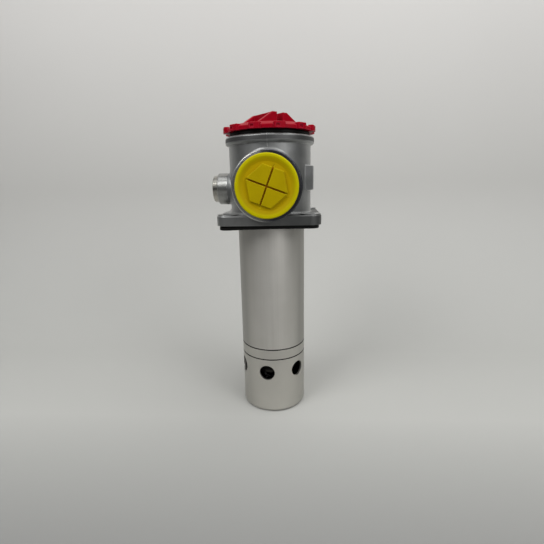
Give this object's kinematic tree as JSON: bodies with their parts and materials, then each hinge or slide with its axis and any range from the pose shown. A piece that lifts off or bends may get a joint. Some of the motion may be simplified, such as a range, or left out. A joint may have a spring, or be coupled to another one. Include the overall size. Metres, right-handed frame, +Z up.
{
  "type": "hydraulic suction filter",
  "caption": "Tank-top hydraulic suction filter with a square flange, side outlet with plug, screw cap and a long tube ending in a windowed intake cup.",
  "frame": {"origin": "centre of the mounting face, the underside of the flange gasket, on the tube's axis", "axes": "+Z up along the tube's axis towards the cap, the outlet port points to -Y, the indicator port to -X, the name-plate pad to +X"},
  "size_m": [0.0979, 0.1022, 0.282],
  "materials": {
    "cast_aluminium": "as-cast, bead-blasted grey",
    "tube_aluminium": "satin, drawn and clear-coated",
    "turned_aluminium": "fine turned",
    "red_plastic": "moulded, semi-gloss",
    "yellow_plastic": "moulded, satin",
    "black_rubber": "smooth black",
    "plated_steel": "bright zinc-plated",
    "spring_steel": "drawn wire",
    "mesh_steel": "stainless woven mesh",
    "jacket_steel": "perforated stainless sheet",
    "element_plastic": "black glass-filled"
  },
  "bodies": {
    "housing": {"head_casting": "cast_aluminium", "flange_gasket": "black_rubber", "suction_tube": "tube_aluminium", "tube_seal": "black_rubber", "valve_seat_ring": "turned_aluminium", "intake_cup": "tube_aluminium", "valve_guide": "turned_aluminium", "valve_spring": "spring_steel"},
    "cap_ring": {"cap_seal": "black_rubber"},
    "cap_body": {"cap": "red_plastic"},
    "element": {"element_bottom_cap": "element_plastic", "spigot_seal": "black_rubber", "pleated_mesh": "mesh_steel", "support_jacket": "jacket_steel", "element_top_cap": "element_plastic", "bypass_cage": "element_plastic", "bypass_spring": "spring_steel"},
    "poppet": {"bypass_poppet": "element_plastic"},
    "foot_valve": {"valve_stem": "plated_steel", "valve_disc": "turned_aluminium", "valve_seal": "black_rubber", "stem_clip": "spring_steel"},
    "outlet_plug_body": {"outlet_plug": "yellow_plastic"},
    "washer_body": {"indicator_washer": "black_rubber"},
    "indicator_plug_body": {"indicator_plug": "plated_steel"}
  },
  "joints": [
    {"name": "cap_rise", "type": "slide", "parent": "housing", "child": "cap_ring", "axis": [0, 0, 1], "range_m": [0, 0.01]},
    {"name": "cap_turn", "type": "hinge", "parent": "cap_ring", "child": "cap_body", "pos_m": [0, 0, 0], "axis": [0, 0, 1], "range_deg": [0, 900]},
    {"name": "element_rise", "type": "slide", "parent": "housing", "child": "element", "axis": [0, 0, 1], "range_m": [0, 0.01]},
    {"name": "bypass_lift", "type": "slide", "parent": "element", "child": "poppet", "axis": [0, 0, 1], "range_m": [0, 0.004], "stiffness_N_per_m": 600, "springref_m": -0.006, "deforming": ["bypass_spring"]},
    {"name": "valve_rise", "type": "slide", "parent": "housing", "child": "foot_valve", "axis": [0, 0, 1], "range_m": [0, 0.01], "deforming": ["valve_spring"]},
    {"name": "outlet_plug_out", "type": "slide", "parent": "housing", "child": "outlet_plug_body", "axis": [0, -1, 0], "range_m": [0, 0.014]},
    {"name": "indicator_plug_out", "type": "slide", "parent": "housing", "child": "washer_body", "axis": [-1, 0, 0], "range_m": [0, 0.009]},
    {"name": "indicator_plug_turn", "type": "hinge", "parent": "washer_body", "child": "indicator_plug_body", "pos_m": [-0.0485, 0, 0.0335], "axis": [-1, 0, 0], "range_deg": [0, 2160]}
  ],
  "couplings": [
    {"joint": "cap_turn", "follows": "cap_rise", "rad_per_m": 1570.8},
    {"joint": "element_rise", "follows": "cap_rise", "ratio": 1},
    {"joint": "valve_rise", "follows": "cap_rise", "ratio": 1},
    {"joint": "indicator_plug_turn", "follows": "indicator_plug_out", "rad_per_m": 4188.8}
  ]
}
